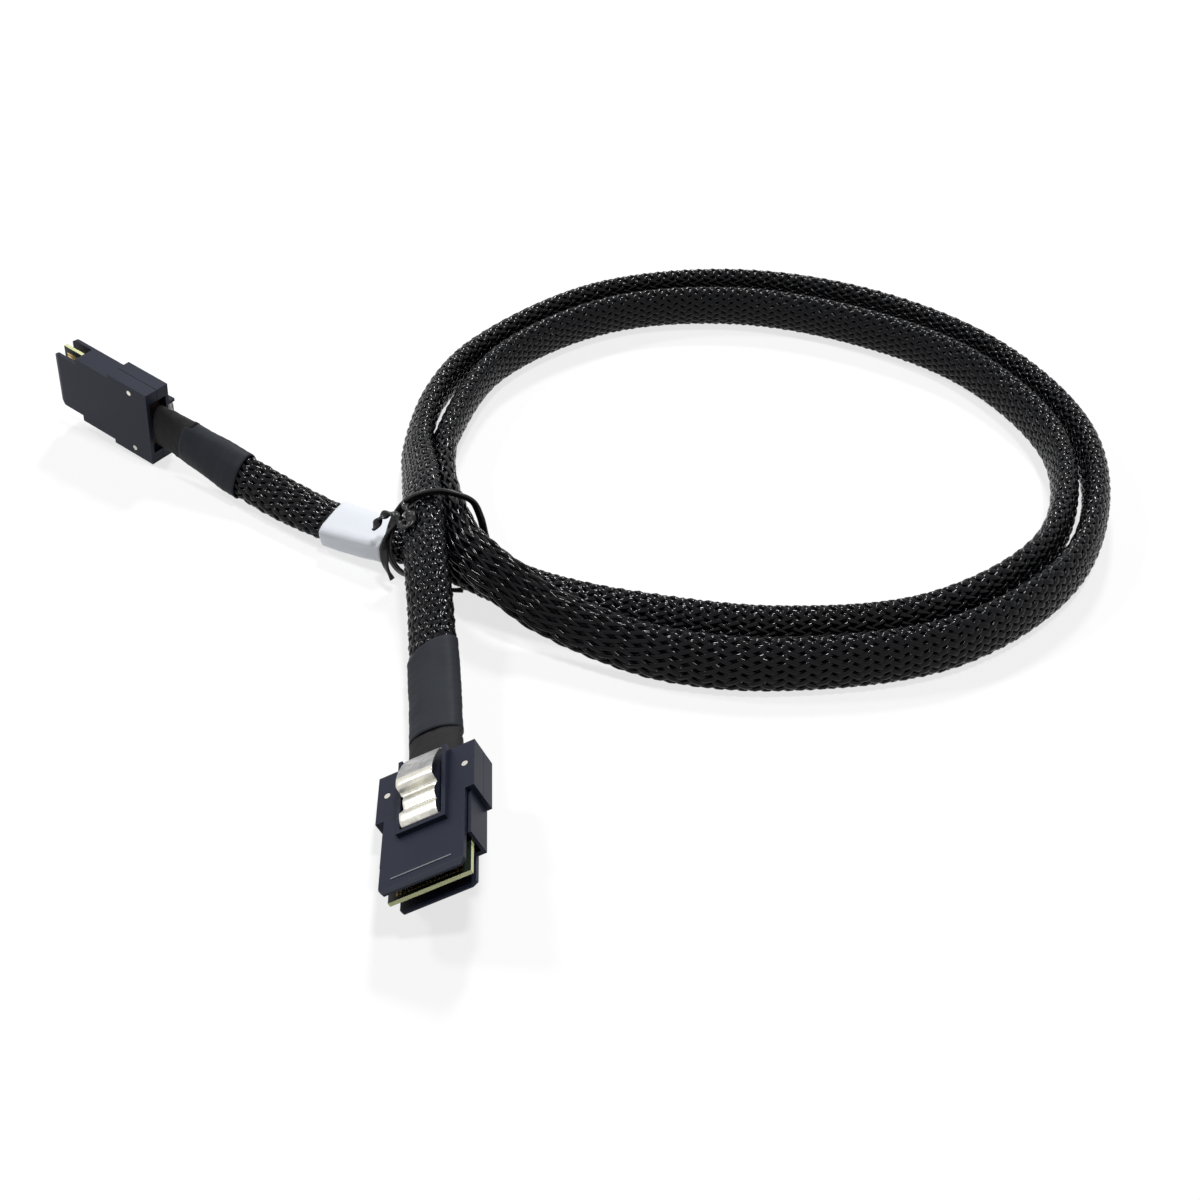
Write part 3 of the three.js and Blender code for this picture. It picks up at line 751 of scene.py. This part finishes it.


# Near-black for the card's broad faces, darker than its pale green edges.
def dark_face_finish():
    finish = Finish("card_face_dark", Specular_IOR_Level=0.25)
    patch = finish.noise(300.0, 3.0, 0.5)
    colour = finish.blend(patch, (0.008, 0.014, 0.01, 1.0), (0.016, 0.026, 0.016, 1.0))
    return finish.paint(Base_Color=colour, Roughness=0.3 + patch * 0.15,
                        Normal=finish.bump(patch, 0.00002, 0.5))


laminate = card_finish()
dark_face = dark_face_finish()
gilt = gilt_finish()
PAD_COUNT = 18
PAD_PITCH = 0.8
PAD_WIDE = 0.5
PAD_LONG = 4.6
PAD_FRONT = -31.9
PAD_THICK = 0.06
CARD_HALF = 0.5
PAD_LIFT = CARD_HALF + 0.02
for prefix in ("a", "b"):
    card = rounded_copy(prefix + "_paddle_card", prefix + "_card", 0.00005)
    card.data.materials.append(laminate)
    card.data.materials.append(dark_face)
    broad = (POSES[prefix].to_3x3() @ Vector((0, 0, 1))).normalized()
    # The broad faces take the near-black finish, the edges the pale green laminate.
    for face in card.data.polygons:
        if abs(face.normal.dot(broad)) > 0.9:
            face.material_index = 1
    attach(card, "cable")
    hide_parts(prefix + "_paddle_card")
    bpy.ops.object.select_all(action="DESELECT")
    pads = []
    for side in (-1, 1):
        for k in range(PAD_COUNT):
            x = (k - (PAD_COUNT - 1) / 2) * PAD_PITCH
            bpy.ops.mesh.primitive_cube_add(size=1.0, location=(x, PAD_FRONT + PAD_LONG / 2, side * PAD_LIFT),
                                            scale=(PAD_WIDE, PAD_LONG, PAD_THICK))
            pads.append(bpy.context.object)
    bpy.ops.object.select_all(action="DESELECT")
    for pad in pads:
        pad.select_set(True)
    bpy.context.view_layer.objects.active = pads[0]
    bpy.ops.object.join()
    bpy.ops.object.transform_apply(location=True, rotation=True, scale=True)
    contacts = bpy.context.object
    contacts.name = prefix + "_contacts"
    contacts.data.transform(POSES[prefix])
    contacts.data.materials.clear()
    contacts.data.materials.append(gilt)
    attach(contacts, "cable")


# The wire blocks
# A dark moulded block fills the back of each plug and grips the wires where they are soldered to the card.
def block_finish():
    finish = Finish("wire_grip", Specular_IOR_Level=0.15)
    patch = finish.noise(300.0, 3.0, 0.6)
    colour = finish.blend(patch, (0.02, 0.014, 0.012, 1.0), (0.05, 0.034, 0.028, 1.0))
    return finish.paint(Base_Color=colour, Roughness=0.5 + patch * 0.2,
                        Normal=finish.bump(patch, 0.0001, 0.5))


grip = block_finish()
for prefix in ("a", "b"):
    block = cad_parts[prefix + "_wire_block"]
    block.data.materials.clear()
    block.data.materials.append(grip)


# The studio
# A plain white table under three round lamps: behind, on the left and overhead. The white surroundings show
# to the camera and in reflections, and put hardly any light on the object.
def seen_white(tree):
    """One for camera, glossy and transmission rays, nought for the rest."""
    path = tree.nodes.new("ShaderNodeLightPath")
    first = tree.nodes.new("ShaderNodeMath")
    both = tree.nodes.new("ShaderNodeMath")
    both.use_clamp = True
    tree.links.new(path.outputs["Is Camera Ray"], first.inputs[0])
    tree.links.new(path.outputs["Is Glossy Ray"], first.inputs[1])
    tree.links.new(first.outputs[0], both.inputs[0])
    tree.links.new(path.outputs["Is Transmission Ray"], both.inputs[1])
    return both.outputs[0]


TABLE_GLOW = 0.75


def table_finish():
    material = bpy.data.materials.new("table_white")
    material.use_nodes = True
    tree = material.node_tree
    skin = tree.nodes["Principled BSDF"]
    skin.inputs["Base Color"].default_value = (0.93, 0.93, 0.93, 1.0)
    skin.inputs["Roughness"].default_value = 0.9
    skin.inputs["Specular IOR Level"].default_value = 0.0
    glow = tree.nodes.new("ShaderNodeEmission")
    glow.inputs["Strength"].default_value = 1.0
    half = tree.nodes.new("ShaderNodeMath")
    half.operation = "MULTIPLY"
    half.inputs[1].default_value = TABLE_GLOW
    mix = tree.nodes.new("ShaderNodeMixShader")
    tree.links.new(seen_white(tree), half.inputs[0])
    tree.links.new(half.outputs[0], mix.inputs[0])
    tree.links.new(skin.outputs[0], mix.inputs[1])
    tree.links.new(glow.outputs[0], mix.inputs[2])
    tree.links.new(mix.outputs[0], tree.nodes["Material Output"].inputs["Surface"])
    return material


bpy.ops.object.select_all(action="DESELECT")
bpy.ops.mesh.primitive_plane_add(size=6.0, location=(0, 0, -0.0002))
table = bpy.context.object
table.name = "table"
table.data.materials.append(table_finish())

world = bpy.data.worlds.new("studio")
bpy.context.scene.world = world
world.use_nodes = True
sky = world.node_tree
back = sky.nodes["Background"]
back.inputs["Color"].default_value = (1.0, 1.0, 1.0, 1.0)
strength = sky.nodes.new("ShaderNodeMapRange")
strength.inputs["To Min"].default_value = 0.06
strength.inputs["To Max"].default_value = 1.0
sky.links.new(seen_white(sky), strength.inputs["Value"])
sky.links.new(strength.outputs[0], back.inputs["Strength"])


def lamp(name, place, aim, size, watts):
    data = bpy.data.lights.new(name, "AREA")
    data.shape = "DISK"
    data.size = size
    data.energy = watts
    thing = bpy.data.objects.new(name, data)
    thing.location = place
    thing.rotation_euler = (Vector(aim) - Vector(place)).to_track_quat("-Z", "Y").to_euler()
    bpy.context.collection.objects.link(thing)


lamp("lamp_behind", (0.1, 0.75, 0.85), (0.0, 0.0, 0.0), 0.17, 8.0)
lamp("lamp_left", (-0.7, 0.3, 0.8), (0.0, 0.0, 0.0), 0.16, 4.5)
lamp("lamp_top", (0.2, -0.05, 1.15), (0.0, 0.0, 0.0), 0.17, 6.5)
